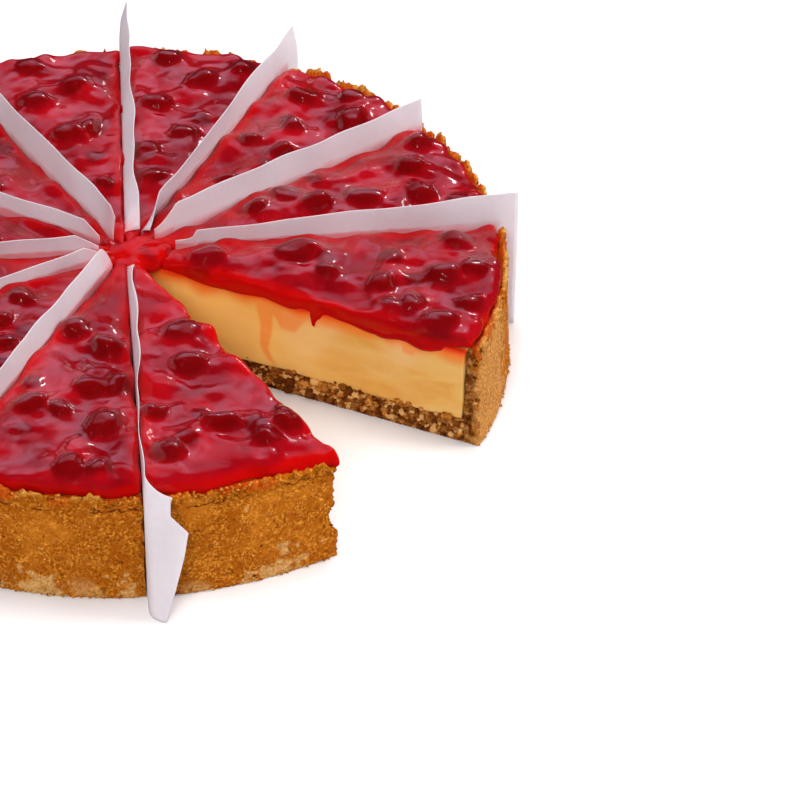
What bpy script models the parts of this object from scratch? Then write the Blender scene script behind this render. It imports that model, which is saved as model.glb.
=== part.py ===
"""Baked cheesecake with a cherry glaze, cut into wedges with paper dividers in the cuts.

Metres, +Z up. The origin is the middle of the cake's underside. Wedges and cuts are numbered
clockwise, seen from above, and the wedge after the last cut is gone. A place on a wedge is a
distance from the cake's axis and a share of the way across, 0 at its first cut and 1 at the next.
"""
import math
import random

import bmesh
import bpy
from mathutils import Vector, noise

# Whole cake
FOOT_RADIUS = 0.1310        # crust at the underside
RIM_RADIUS = 0.1295         # crust at the top
TIP_RADIUS = 0.0018         # where the wedges' points stop short of the axis
GAP = 0.0003                # left between neighbouring layers

# Crumb crust
BASE_THICK = 0.0095
WALL_INNER_FOOT = 0.1245
WALL_INNER_TOP = 0.1252
WALL_TOP = 0.0378
RIM_TOP = 0.0384            # outer lip, before its crags
LIP_INNER = 0.1274
CRAG = 0.0040               # how far crumbs stand up on the lip
CRAG_DIP = 0.0007           # and how far the lip dips between them
WALL_UNEVEN = 0.0004
WALL_LEVELS = ((0.0012, 0.0), (0.0100, 0.5), (0.0240, 0.5), (0.0345, 1.0))  # height, way to the rim
WALL_LUMP = 0.008
CRAG_LUMP = 0.0045
FOOT_BEVEL = 0.0010
RIM_BEVEL = 0.0006
CUT_UNEVEN = 0.0008         # how rough the crumb is on an open cut
CUT_LUMP = 0.0042
CRUST_STEPS = 10
FACE_STATION = 0.0105       # spacing of the crumb's lumps along an open cut

# Filling
FILLING_TOP = WALL_TOP
FILLING_STEPS = 6

# Cherry glaze
GLAZE_BOTTOM = FILLING_TOP + GAP
GLAZE_TOP = 0.0425
GLAZE_RADIUS = 0.1270
GLAZE_RINGS = ((0.00, 0.0005), (0.28, 0.0), (0.62, 0.0003), (0.88, 0.0016), (1.00, 0.0042))
CUT_ROUNDING = 0.35         # share of the edge's rounding that the glaze has at a cut
OPEN_ROUNDING = 0.75        # and at an open cut
GLAZE_WAVE = 0.0011         # how far its edge bulges out of an open cut
GLAZE_WAVE_LENGTH = 0.011
RIM_STEPS = 6
CUT_STEPS = 5
OPEN_CUT_STEPS = 14

# Cherries under the glaze
CHERRY_WIDTH = 0.0118
CHERRY_RISE = 0.0031        # above the glaze
CHERRY_FLOOR = 0.0004       # of glaze left under a cherry
CHERRY_UNEVEN = 0.10
CHERRY_SIDE = 0.0009        # kept between a cherry and a divided cut
CHERRY_OPEN_SIDE = -0.0012  # past the plane of an open cut
CHERRIES_A_WEDGE = 7
CHERRY_SPACING = 0.0128
CHERRY_NEAREST = 0.030
CHERRY_SEED = 26

# Cuts
FIRST_CUT = -56.0
WEDGE_TURN = 30.0
WEDGES = 11
CUT_DRIFT = (-1.5, 0.5, 1.5, -3.0, 1.5, -2.5, -2.0, -1.0, 0.5, 2.0, 2.0, 1.0)
SLIT_HALF = 0.00065
SLIT_HALF_AT_TIP = 0.0002
SLIT_OPENS = (0.004, 0.014)

# Paper dividers: inner end, outer end, rise above the glaze at each, side lean at each (mm)
PAPER_HALF = 0.00015
PAPER_WAVE = 0.0005
PAPERS = (
    (9, 131.5, 7, 8, 2.0, 0.5),
    (10, 136, 9, 11, -2.0, 0.0),
    (9.5, 135, 6, 7, 0.0, 1.4),
    (9, 134.5, 7, 7, 0.7, 0.7),
    (10, 134, 7, 8, -0.3, -0.5),
    (8, 137, 11, 11, -1.5, -2.8),
    (10, 144, 7, 9, -5.0, -2.6),
    (12, 136, 10, 11, -2.4, 2.0),
    (12, 127, 11, 11, -0.4, 1.0),
    (17, 134.5, 6, 12, -0.5, 1.3),
)
PAPER_STEPS = 7
# The first divider's loose end: height share, length and turn to the side
FLAP = ((0.0, 0.0130, 6), (0.25, 0.0125, 26), (0.50, 0.0130, 58), (0.66, 0.0135, 74),
        (0.82, 0.0086, 66), (1.0, 0.0094, 60))
FLAP_STEPS = 4
FLAP_DROOP = 0.006
FLAP_BEND = 0.0045

# Cherries placed by hand: wedge, then distance from the axis (mm), share across, width (mm)
PLACED_CHERRIES = {
    1: ((52, 0.38, 14.0), (70, 0.48, 12.5), (101, 0.46, 12.0), (112, 0.84, 12.0), (116, 0.25, 11.0),
        (119, 0.08, 10.5), (92, 0.90, 9.0), (104, 0.05, 7.5)),
    2: ((49, 0.76, 11.0), (57, 0.30, 12.5), (79, 0.36, 11.0), (78, 0.16, 10.5), (91, 0.76, 11.5),
        (91, 0.53, 9.0), (97, 0.24, 13.5), (120, 0.37, 11.5), (120, 0.22, 10.5)),
    3: ((66, 0.31, 10.5), (44, 0.70, 10.5), (58, 0.54, 9.0), (83, 0.45, 12.0), (98, 0.72, 12.5),
        (104, 0.30, 11.5), (118, 0.50, 12.0)),
    7: ((71, 0.47, 13.5), (73, 0.70, 10.5), (39, 0.66, 7.5), (96, 0.35, 12.5), (103, 0.68, 12.0),
        (118, 0.45, 11.5)),
    8: ((59, 0.30, 11.5), (42, 0.50, 11.0), (71, 0.64, 11.5), (88, 0.30, 12.0), (106, 0.55, 12.5),
        (119, 0.30, 11.5), (118, 0.78, 10.5)),
    9: ((77, 0.62, 10.5), (77, 0.25, 9.5), (52, 0.51, 9.0), (93, 0.42, 11.0), (108, 0.72, 12.5),
        (110, 0.28, 12.0), (120, 0.52, 10.5)),
    10: ((62, 0.24, 11.5), (70, 0.50, 12.0), (106, 0.64, 12.5), (108, 0.36, 11.5), (117, 0.78, 10.0),
         (86, 0.54, 13.5), (49, 0.32, 8.5), (119, 0.16, 10.0)),
    11: ((27, 0.62, 11.0), (58, 0.34, 15.0), (89, 0.65, 11.0), (102, 0.79, 10.5), (108, 0.50, 12.5),
         (112, 0.14, 12.0), (119, 0.42, 10.0), (114, 0.92, 12.5), (120, 0.72, 10.5), (70, 0.60, 8.5),
         (90, 0.35, 9.0)),
}

# Colours in linear light, roughness
CRUST_LOOK = ((0.40, 0.135, 0.018), 0.85)
FILLING_LOOK = ((0.75, 0.42, 0.16), 0.55)
GLAZE_LOOK = ((0.36, 0.008, 0.012), 0.18)
PAPER_LOOK = ((0.74, 0.70, 0.72), 0.60)


def mix(a, b, share):
    return a + (b - a) * share


def cut_angle(number):
    """Direction of a cut from the axis, in radians; cut 1 is the first."""
    return math.radians(FIRST_CUT - WEDGE_TURN * (number - 1) + CUT_DRIFT[number - 1])


def slit_half(radius):
    """Half the width of a cut, which closes towards the axis."""
    share = min(1.0, max(0.0, (radius - SLIT_OPENS[0]) / (SLIT_OPENS[1] - SLIT_OPENS[0])))
    return mix(SLIT_HALF_AT_TIP, SLIT_HALF, share)


def wedge_point(number, radius, share, height, side_in=(0.0, 0.0)):
    """Point of a wedge; side_in draws it in from its first and its second cut."""
    first, second = cut_angle(number), cut_angle(number + 1)
    slit = slit_half(radius)
    first -= math.asin((slit + side_in[0]) / radius)
    second += math.asin((slit + side_in[1]) / radius)
    angle = mix(first, second, share)
    return Vector((radius * math.cos(angle), radius * math.sin(angle), height))


def open_side(number):
    """Which side of a wedge faces the gap: 0, 1 or None."""
    return {1: 0, WEDGES: 1}.get(number)


def make_material(name, look):
    material = bpy.data.materials.new(name)
    material.use_nodes = True
    shader = material.node_tree.nodes["Principled BSDF"]
    shader.inputs["Base Color"].default_value = (*look[0], 1.0)
    shader.inputs["Roughness"].default_value = look[1]
    shader.inputs["Metallic"].default_value = 0.0
    material.diffuse_color = (*look[0], 1.0)
    return material


def add_object(name, mesh, material):
    thing = bpy.data.objects.new(name, mesh)
    bpy.context.scene.collection.objects.link(thing)
    mesh.materials.clear()
    mesh.materials.append(material)
    return thing


def end_faces(shape, row, rungs):
    """Fills a loop: quads like a ladder's between its two ends, then one face for the rest."""
    faces = [shape.faces.new((row[i], row[i + 1], row[-2 - i], row[-1 - i])) for i in range(rungs)]
    rest = row[rungs:len(row) - rungs]
    if len(rest) > 2:
        faces.append(shape.faces.new(rest))
    return faces


def loft(name, loops, rungs=0):
    """Closed mesh through loops of equally many points, its first and last loop filled."""
    shape = bmesh.new()
    rows = [[shape.verts.new(point) for point in loop] for loop in loops]
    for row, following in zip(rows, rows[1:]):
        for i in range(len(row)):
            j = (i + 1) % len(row)
            shape.faces.new((row[i], row[j], following[j], following[i]))
    ends = end_faces(shape, rows[0], rungs) + end_faces(shape, rows[-1], rungs)
    bmesh.ops.triangulate(shape, faces=ends, ngon_method="EAR_CLIP")
    bmesh.ops.triangulate(shape, faces=shape.faces[:])
    bmesh.ops.recalc_face_normals(shape, faces=shape.faces)
    mesh = bpy.data.meshes.new(name)
    shape.to_mesh(mesh)
    shape.free()
    return mesh


def unevenness(point, size, seed):
    """Smooth noise from -1 to 1 with lumps of the given size."""
    return noise.noise(Vector((point[0] / size + seed, point[1] / size, point[2] / size)))


def crust_section(number, share, stations):
    """Closed outline of the crust, as (radius, height), where a wedge is crossed."""
    def rough(height, size, amount):
        place = wedge_point(number, RIM_RADIUS, share, height)
        return unevenness(place, size, number) * amount

    def crag(height):
        return max(-CRAG_DIP, rough(height, CRAG_LUMP, CRAG))

    outline = [(radius, 0.0) for radius in stations]
    outline.append((FOOT_RADIUS - FOOT_BEVEL, 0.0))
    for height, way in WALL_LEVELS:
        radius = mix(FOOT_RADIUS, RIM_RADIUS, way) + rough(height, WALL_LUMP, WALL_UNEVEN)
        outline.append((radius, height))
    outline += [
        (RIM_RADIUS - RIM_BEVEL, RIM_TOP + crag(RIM_TOP)),
        (mix(LIP_INNER, RIM_RADIUS, 0.35), RIM_TOP + crag(RIM_TOP + 2 * CRAG_LUMP)),
        (LIP_INNER, WALL_TOP),
        (WALL_INNER_TOP, WALL_TOP),
        (WALL_INNER_FOOT, BASE_THICK),
    ]
    outline += [(radius, BASE_THICK) for radius in reversed(stations)]
    return outline


def crust_mesh(number):
    side = open_side(number)
    stations = [TIP_RADIUS]
    if side is not None:
        count = round((WALL_INNER_FOOT - TIP_RADIUS) / FACE_STATION)
        stations = [mix(TIP_RADIUS, WALL_INNER_FOOT, i / count) for i in range(count)]
    loops = []
    for step in range(CRUST_STEPS + 1):
        share = step / CRUST_STEPS
        outline = crust_section(number, share, stations)
        on_open_cut = side is not None and step == side * CRUST_STEPS
        loop = []
        for radius, height in outline:
            side_in = [0.0, 0.0]
            if on_open_cut and radius > 2 * FACE_STATION:
                lumps = (radius, height, 0.0)
                side_in[side] = unevenness(lumps, CUT_LUMP, number) * CUT_UNEVEN
            loop.append(wedge_point(number, radius, share, height, side_in))
        loops.append(loop)
    return loft(f"crust_{number:02d}", loops, rungs=len(stations))


def filling_mesh(number):
    outline = (
        (TIP_RADIUS, BASE_THICK + GAP),
        (WALL_INNER_FOOT - GAP, BASE_THICK + GAP),
        (WALL_INNER_TOP - GAP, FILLING_TOP),
        (TIP_RADIUS, FILLING_TOP),
    )
    loops = []
    for step in range(FILLING_STEPS + 1):
        share = step / FILLING_STEPS
        loops.append([wedge_point(number, radius, share, height) for radius, height in outline])
    return loft(f"filling_{number:02d}", loops)


def glaze_edge(number, side, radius):
    """How far the glaze stays in from an open cut, in waves, or from a divided one, straight."""
    if open_side(number) != side:
        return 0.0
    wave = unevenness((radius, side, 0.0), GLAZE_WAVE_LENGTH, number) - 0.35
    return wave * GLAZE_WAVE * min(1.0, radius / 0.03)


def glaze_mesh(number):
    """Poured slab with a rounded outer edge."""
    half_turn = abs(cut_angle(number + 1) - cut_angle(number)) / 2
    loops = []
    for rise, inset in GLAZE_RINGS:
        height = mix(GLAZE_BOTTOM, GLAZE_TOP, rise)
        outer = GLAZE_RADIUS - inset
        roundings = [OPEN_ROUNDING if open_side(number) == side else CUT_ROUNDING for side in (0, 1)]
        insets = [inset * rounding for rounding in roundings]
        widest = max(insets) + SLIT_HALF
        inner = max(TIP_RADIUS, 1.2 * widest / math.sin(half_turn)) if inset else TIP_RADIUS
        loop = []
        for side in (0, 1):
            steps = OPEN_CUT_STEPS if open_side(number) == side else CUT_STEPS
            row = []
            for i in range(steps + 1):
                radius = mix(inner, outer, i / steps)
                side_in = [insets[0], insets[1]]
                side_in[side] += glaze_edge(number, side, radius)
                row.append(wedge_point(number, radius, side, height, side_in))
            loop.append(row)
        rim = [wedge_point(number, outer, i / RIM_STEPS, height, insets) for i in range(1, RIM_STEPS)]
        loops.append(loop[0] + rim + loop[1][::-1])
    return loft(f"topping_{number:02d}", loops)


def settle_cherry(number, radius, share, width):
    """Moves a cherry's place so that it stays on its wedge and clear of the dividers."""
    half_width = width / 2
    radius = min(radius, GLAZE_RADIUS - half_width - 0.0004)
    turn = abs(cut_angle(number + 1) - cut_angle(number))
    least = []
    for side in (0, 1):
        room = CHERRY_OPEN_SIDE if open_side(number) == side else CHERRY_SIDE
        least.append(math.asin((half_width + room + SLIT_HALF) / radius) / turn)
    if least[0] > 1 - least[1]:
        return radius, 0.5
    return radius, min(1 - least[1], max(least[0], share))


def cherry_places(number):
    """Distance from the axis, share across and width of each cherry on a wedge."""
    if number in PLACED_CHERRIES:
        return [(r / 1000, share, width / 1000) for r, share, width in PLACED_CHERRIES[number]]
    draw = random.Random(CHERRY_SEED + number)
    places = []
    centres = []
    tries = 0
    while len(places) < CHERRIES_A_WEDGE and tries < 400:
        tries += 1
        radius = mix(CHERRY_NEAREST, GLAZE_RADIUS, math.sqrt(draw.uniform(0.02, 0.98)))
        share = draw.uniform(0.05, 0.95)
        width = CHERRY_WIDTH * draw.uniform(0.85, 1.15)
        radius, share = settle_cherry(number, radius, share, width)
        centre = wedge_point(number, radius, share, 0.0)
        if all((centre - other).length > CHERRY_SPACING for other in centres):
            centres.append(centre)
            places.append((radius, share, width))
    return places


def cherry_mesh(name, centre, width, height, draw):
    shape = bmesh.new()
    bmesh.ops.create_icosphere(shape, subdivisions=2, radius=0.5)
    turn = draw.uniform(0, math.tau)
    length = draw.uniform(1.0, 1.14)
    for vert in shape.verts:
        grow = 1 + CHERRY_UNEVEN * noise.noise(vert.co * 2.6 + Vector((draw.random(), turn, 0)) * 0.02)
        x, y = vert.co.x * width * length * grow, vert.co.y * width / length * grow
        vert.co = (
            centre.x + x * math.cos(turn) - y * math.sin(turn),
            centre.y + x * math.sin(turn) + y * math.cos(turn),
            centre.z + vert.co.z * height,
        )
    mesh = bpy.data.meshes.new(name)
    shape.to_mesh(mesh)
    shape.free()
    return mesh


def add_cherries(number, material):
    """Collection of a wedge's cherries, each sunk in the glaze."""
    group = bpy.data.collections.new(f"cherries_{number:02d}")
    bpy.context.scene.collection.children.link(group)
    draw = random.Random(CHERRY_SEED * 7 + number)
    for index, (radius, share, width) in enumerate(cherry_places(number)):
        radius, share = settle_cherry(number, radius, share, width)
        floor = GLAZE_BOTTOM + CHERRY_FLOOR
        top = GLAZE_TOP + CHERRY_RISE * draw.uniform(0.75, 1.25) * min(1.0, width / CHERRY_WIDTH)
        centre = wedge_point(number, radius, share, (floor + top) / 2)
        mesh = cherry_mesh(f"cherry_{number:02d}_{index}", centre, width, top - floor, draw)
        cherry = bpy.data.objects.new(mesh.name, mesh)
        mesh.materials.append(material)
        group.objects.link(cherry)
    return group


def fuse(body, group):
    """Joins a collection's shapes to a body by one union and drops the collection."""
    union = body.modifiers.new("Cherries", "BOOLEAN")
    union.operation = "UNION"
    union.operand_type = "COLLECTION"
    union.collection = group
    union.solver = "EXACT"
    bpy.context.view_layer.update()
    fused = bpy.data.meshes.new_from_object(body.evaluated_get(bpy.context.evaluated_depsgraph_get()))
    body.modifiers.clear()
    body.data = fused
    fused.name = body.name
    for cherry in list(group.objects):
        bpy.data.objects.remove(cherry)
    bpy.data.collections.remove(group)


def add_topping(number, material):
    body = add_object(f"topping_{number:02d}", glaze_mesh(number), material)
    fuse(body, add_cherries(number, material))
    body.data.shade_smooth()
    body.data.set_sharp_from_angle(angle=math.radians(50))
    return body


def paper_point(direction, radius, side, height):
    """Point beside a cut's line; side is counted anticlockwise seen from above."""
    across, along = math.cos(direction), math.sin(direction)
    return Vector((radius * across - side * along, radius * along + side * across, height))


def paper_loop(direction, radius, sides, heights):
    """Thin closed loop across a strip: up its one face and down its other."""
    faces = []
    for half in (-PAPER_HALF, PAPER_HALF):
        faces.append([
            paper_point(direction, radius, side + half, height)
            for side, height in zip(sides, heights)
        ])
    return faces[0] + faces[1][::-1]


def paper_mesh(number):
    """Divider standing in a cut, its free edge leaning a little to one side."""
    inner, outer, rise_in, rise_out, lean_in, lean_out = [size / 1000 for size in PAPERS[number - 2]]
    direction = cut_angle(number)
    loops = []
    for step in range(PAPER_STEPS + 1):
        share = step / PAPER_STEPS
        radius = mix(inner, outer, share)
        top = GLAZE_TOP + mix(rise_in, rise_out, share)
        lean = mix(lean_in, lean_out, share) + PAPER_WAVE * math.sin(2.2 * step + number)
        heights = (0.0, GLAZE_TOP * 0.98, (GLAZE_TOP + top) / 2, top)
        loops.append(paper_loop(direction, radius, (0.0, 0.0, lean * 0.35, lean), heights))
    if number == 2:
        loops = flap_loops(direction)
    return loft(f"divider_{number - 1:02d}", loops, rungs=len(loops[0]) // 2 - 1)


def flap_loops(direction):
    """The first divider's loops, with a loose end that curls aside."""
    inner, outer, rise_in, rise_out, lean_in, lean_out = [size / 1000 for size in PAPERS[0]]
    loops = []
    for step in range(PAPER_STEPS + 1):
        share = step / PAPER_STEPS
        top = GLAZE_TOP + mix(rise_in, rise_out, share)
        lean = mix(lean_in, lean_out, share)
        heights = [row[0] * top for row in FLAP]
        sides = [lean * max(0.0, height - GLAZE_TOP) / (top - GLAZE_TOP) for height in heights]
        loops.append(paper_loop(direction, mix(inner, outer, share), sides, heights))
    for step in range(1, FLAP_STEPS + 1):
        share = step / FLAP_STEPS
        top = GLAZE_TOP + rise_out - FLAP_DROOP * share
        faces = ([], [])
        for row, (rise, length, turn) in enumerate(FLAP):
            reach = length * share
            bend = math.radians(turn) * min(1.0, reach / FLAP_BEND)
            radius = outer + reach * math.cos(bend)
            side = reach * math.sin(bend) + (lean_out if row == len(FLAP) - 1 else 0.0)
            for face, sign in zip(faces, (-1, 1)):
                out, aside = -sign * PAPER_HALF * math.sin(bend), sign * PAPER_HALF * math.cos(bend)
                face.append(paper_point(direction, radius + out, side + aside, rise * top))
        loops.append(faces[0] + faces[1][::-1])
    return loops


def build():
    for thing in list(bpy.data.objects):
        bpy.data.objects.remove(thing)
    crust = make_material("crumb_crust", CRUST_LOOK)
    filling = make_material("cheese_filling", FILLING_LOOK)
    glaze = make_material("cherry_glaze", GLAZE_LOOK)
    paper = make_material("divider_paper", PAPER_LOOK)
    for number in range(1, WEDGES + 1):
        add_object(f"crust_{number:02d}", crust_mesh(number), crust)
        add_object(f"filling_{number:02d}", filling_mesh(number), filling)
        add_topping(number, glaze)
    for number in range(2, WEDGES + 1):
        add_object(f"divider_{number - 1:02d}", paper_mesh(number), paper)


build()
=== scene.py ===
"""Looks of the baked cheesecake: poured cherry glaze, crumb crust, baked filling and paper dividers."""
import math
import random

import bmesh
import bpy
import numpy as np
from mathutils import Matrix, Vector, noise


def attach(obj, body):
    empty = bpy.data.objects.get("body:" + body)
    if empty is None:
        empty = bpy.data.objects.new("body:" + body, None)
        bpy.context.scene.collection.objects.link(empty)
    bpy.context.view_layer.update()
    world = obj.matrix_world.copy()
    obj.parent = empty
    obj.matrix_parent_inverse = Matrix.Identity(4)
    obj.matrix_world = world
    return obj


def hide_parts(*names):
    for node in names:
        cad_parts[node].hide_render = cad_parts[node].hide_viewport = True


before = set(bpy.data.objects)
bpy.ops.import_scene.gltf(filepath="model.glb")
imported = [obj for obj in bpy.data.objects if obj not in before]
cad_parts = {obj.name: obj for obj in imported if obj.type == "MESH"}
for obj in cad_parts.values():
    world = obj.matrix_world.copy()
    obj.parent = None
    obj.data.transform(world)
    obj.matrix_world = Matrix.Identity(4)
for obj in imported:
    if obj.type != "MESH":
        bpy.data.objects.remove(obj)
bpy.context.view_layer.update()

# Crust, filling and glaze, in metres
FOOT_RADIUS = 0.1310
RIM_RADIUS = 0.1295
RIM_TOP = 0.0384
LIP_INNER = 0.1274
WALL_INNER_FOOT = 0.1245
WALL_INNER_TOP = 0.1252
WALL_TOP = 0.0378
BASE_THICK = 0.0095
GLAZE_BOTTOM = 0.0377
GLAZE_TOP = 0.0425
GLAZE_RADIUS = 0.1270

# Cuts: direction in degrees of the first, then every thirty, each a little off
FIRST_CUT = -56.0
WEDGE_TURN = 30.0
WEDGES = 11
CUT_DRIFT = (-1.5, 0.5, 1.5, -3.0, 1.5, -2.5, -2.0, -1.0, 0.5, 2.0, 2.0, 1.0)
CRUST_SLIT = 0.00024
GLAZE_SLIT = 0.00012
GLAZE_OVERHANG = 0.0003

# Paper dividers: inner end, outer end, rise above the glaze at each, side lean at each (mm)
PAPERS = (
    (9, 131.5, 7, 8, 2.0, 0.5),
    (10, 136, 9, 11, -2.0, 0.0),
    (9.5, 135, 6, 7, 0.0, 1.4),
    (9, 134.5, 7, 7, 0.7, 0.7),
    (10, 134, 7, 8, -0.3, -0.5),
    (8, 137, 11, 11, -1.5, -2.8),
    (10, 143.9, 7, 9, -5.0, -2.6),
    (12, 136, 10, 11, -2.4, 2.0),
    (12, 127, 11, 11, -0.4, 1.0),
    (17, 134.5, 6, 12, -0.5, 1.3),
)
# Inner end of each divider: length that drops, how sharply, and share of its rise that is lost
INNER_ENDS = ((0.012, 0.8, 1.0), (0.004, 1.0, 0.5), (0.006, 1.0, 0.7), (0.008, 1.0, 0.8), (0.006, 1.0, 0.7),
              (0.003, 1.0, 0.3), (0.008, 1.2, 0.9), (0.010, 1.2, 0.9), (0.009, 1.5, 0.7), (0.007, 9.0, 0.55))
# First divider's loose end: share of its height, reach outward and reach to the side; then how far its top
# drops and where along the strip it starts
FLAP = ((0.0, 0.0122, 0.0054), (0.25, 0.0110, 0.0084), (0.50, 0.0072, 0.0118), (0.66, 0.0046, 0.0134),
        (0.82, 0.0040, 0.0080), (1.0, 0.0050, 0.0082))
FLAP_DROOP = 0.006
FLAP_FROM = 0.80
PAPER_THICK = 0.00018
PAPER_HIGHEST = 0.0544

# Cherries: distance from the axis (mm), share across, width (mm), by wedge
PLACED_CHERRIES = {
    1: ((52, 0.38, 14.0), (70, 0.48, 12.5), (101, 0.46, 12.0), (112, 0.84, 12.0), (114, 0.26, 11.0),
        (110, 0.09, 10.0), (92, 0.90, 9.0), (104, 0.05, 7.5)),
    2: ((49, 0.76, 11.0), (57, 0.30, 12.5), (79, 0.36, 11.0), (78, 0.16, 10.5), (91, 0.76, 11.5),
        (91, 0.53, 9.0), (97, 0.24, 13.5), (120, 0.37, 11.5), (120, 0.22, 10.5)),
    3: ((66, 0.31, 10.5), (44, 0.70, 10.5), (58, 0.54, 9.0), (83, 0.45, 12.0), (98, 0.72, 12.5),
        (104, 0.30, 11.5), (118, 0.50, 12.0)),
    7: ((71, 0.47, 13.5), (73, 0.70, 10.5), (39, 0.66, 7.5), (96, 0.35, 12.5), (103, 0.68, 12.0),
        (118, 0.45, 11.5)),
    8: ((59, 0.30, 11.5), (42, 0.50, 11.0), (71, 0.64, 11.5), (88, 0.30, 12.0), (106, 0.55, 12.5),
        (119, 0.30, 11.5), (118, 0.78, 10.5)),
    9: ((77, 0.62, 10.5), (77, 0.25, 9.5), (52, 0.51, 9.0), (93, 0.42, 11.0), (108, 0.72, 12.5),
        (110, 0.28, 12.0), (120, 0.52, 10.5)),
    10: ((62, 0.24, 11.5), (70, 0.50, 12.0), (106, 0.64, 12.5), (108, 0.36, 11.5), (117, 0.78, 10.0),
         (86, 0.54, 13.5), (49, 0.32, 8.5), (119, 0.16, 10.0)),
    11: ((28, 0.72, 13.0), (58, 0.34, 15.0), (89, 0.65, 11.0), (102, 0.79, 10.5), (108, 0.50, 12.5),
         (112, 0.14, 12.0), (119, 0.42, 10.0), (114, 0.92, 12.5), (120, 0.72, 10.5), (70, 0.60, 8.5),
         (90, 0.35, 9.0)),
}
CHERRY_WIDTH = 0.0118
CHERRY_RISE = 0.0031
CHERRY_FLOOR = 0.0004
CHERRY_SIDE = 0.0009
CHERRY_OPEN_SIDE = -0.0012
CHERRIES_A_WEDGE = 7
CHERRY_SPACING = 0.0128
CHERRY_NEAREST = 0.030
CHERRY_SEED = 26
SUNKEN_CHERRIES = 3
# Fineness of the glaze's mesh, and of the jelly over the centre
GLAZE_GRAIN = 0.00062
CENTRE_GRAIN = 0.00055
# Glaze hanging over the open cuts, by wedge: distance from the axis, length, width and thickness
GLAZE_DRIPS = {
    1: ((0.062, 0.0044, 0.0150, 0.0022), (0.098, 0.0040, 0.0180, 0.0022)),
    11: ((0.0700, 0.0112, 0.0042, 0.0042), (0.0708, 0.0060, 0.0080, 0.0030),
         (0.0300, 0.0024, 0.0200, 0.0018), (0.0470, 0.0026, 0.0220, 0.0018),
         (0.0590, 0.0030, 0.0160, 0.0018), (0.0850, 0.0036, 0.0220, 0.0022),
         (0.1000, 0.0040, 0.0160, 0.0024), (0.1100, 0.0050, 0.0160, 0.0028)),
}
# The first wedge's glaze over its outer corner: it sags, then runs out to a beak (place, reach, drag)
GLAZE_CORNER = (
    ((0.0690, -0.1070, 0.0420), 0.028, (0.0006, -0.0004, -0.0031)),
    ((0.0695, -0.1085, 0.0395), 0.009, (0.0030, -0.0012, -0.0002)),
    ((0.0690, -0.1075, 0.0370), 0.005, (-0.0016, 0.0008, 0.0010)),
)
# Jelly over the centre: distance from the axis, direction, width and rise above the glaze
CENTRE_LUMPS = ((0.0010, 0, 0.018, 0.0010), (0.0075, -20, 0.014, 0.0012), (0.0070, 40, 0.012, 0.0008),
                (0.0070, 150, 0.009, 0.0006), (0.0065, -100, 0.010, 0.0002), (0.0120, 0, 0.011, 0.0008),
                (0.0080, -70, 0.010, 0.0004))

# Crust: relief by name, size, depth of detail, strength, middle, part of the wall and direction
CRUST_RELIEFS = (
    ("lip_crags", 0.0050, 2, 0.0095, 0.46, "lip", "Z"),
    ("back_crags", 0.0060, 1, 0.0060, 0.42, "high_lip", "Z"),
    ("wall_lumps", 0.0070, 2, 0.0013, 0.55, "skin", "NORMAL"),
    ("brow_crumbs", 0.0020, 2, 0.0030, 0.52, "brow", "NORMAL"),
    ("cut_chips", 0.0030, 2, 0.0018, 0.60, "chips", "NORMAL"),
    ("wall_grain", 0.0013, 2, 0.0010, 0.52, "skin", "NORMAL"),
)
# Wedges whose crust shows most are meshed finer
FINE_WEDGES = (1, 2, 3, 10, 11)
FINE_GRAIN = 0.00062
CRUST_GRAIN = 0.0009
# Loose crumbs along the rim, along the foot and on each open cut
RIM_CRUMBS = 1700
FOOT_CRUMBS = 420
CUT_CRUMBS = 440
# Wear of the first wedge's outer corner: place, reach and drag
CORNER_WEAR = (
    ((0.0700, -0.1090, 0.0380), 0.026, (0.0004, -0.0004, -0.0028)),
    ((0.0702, -0.1100, 0.0060), 0.011, (0.0018, 0.0006, 0.0)),
    ((0.0700, -0.1095, 0.0145), 0.007, (-0.0016, -0.0006, 0.0)),
)
# Pale patches low on the wall: direction, half width in degrees, height and strength; the last row is
# painted light over the whole height of the right front wall
PALE_AND_LIT_PATCHES = ((-100.5, 3.6, 0.0075, 0.85), (-88.0, 1.6, 0.006, 0.7), (-66.5, 3.2, 0.008, 0.75),
                (-71.5, 1.2, 0.004, 0.6), (-140.0, 4.0, 0.006, 0.6), (150.0, 5.0, 0.007, 0.6),
                (60.0, 4.0, 0.006, 0.6), (8.0, 3.0, 0.006, 0.6), (-19.0, 9.0, 0.060, 0.42))

# Filling
FILLING_GRAIN = 0.0008
# Juice run down an open cut: distance from the axis, reach down, half width at its foot and top
JUICE_RUNS = (
    (0.0520, 0.0300, 0.0016, 0.0046),
    (0.0600, 0.0125, 0.0030, 0.0170),
    (0.0700, 0.0070, 0.0012, 0.0040),
    (0.0880, 0.0060, 0.0040, 0.0120),
    (0.1040, 0.0080, 0.0020, 0.0070),
    (0.1180, 0.0050, 0.0030, 0.0060),
)

# Broad lamps that only fill, and small ones that leave points of light on the glaze
FILL_LAMPS = (
    ("front_lamp", (-0.3, -1.6, 1.5), 1.0, 32.0),
    ("right_lamp", (2.0, 0.1, 1.0), 1.0, 33.0),
    ("top_lamp", (0.0, 0.3, 2.2), 1.0, 27.0),
)
SPARKLE_LAMPS = (
    ("star_lamp", (0.80, 1.75, 1.20), 0.26, 3.6),
    ("point_lamp_left", (-0.50, -0.60, 1.60), 0.06, 0.4),
    ("point_lamp_near", (-0.32, -0.80, 1.50), 0.05, 0.25),
)

# Camera
LENS = 162.4
CAMERA_PLACE = (0.06016, -0.99632, 0.75550)
CAMERA_TURN = (52.009, -0.715, -1.378)


def mix(a, b, share):
    return a + (b - a) * share


def smooth_step(low, high, value):
    share = np.clip((value - low) / (high - low), 0.0, 1.0)
    return share * share * (3 - 2 * share)


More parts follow.
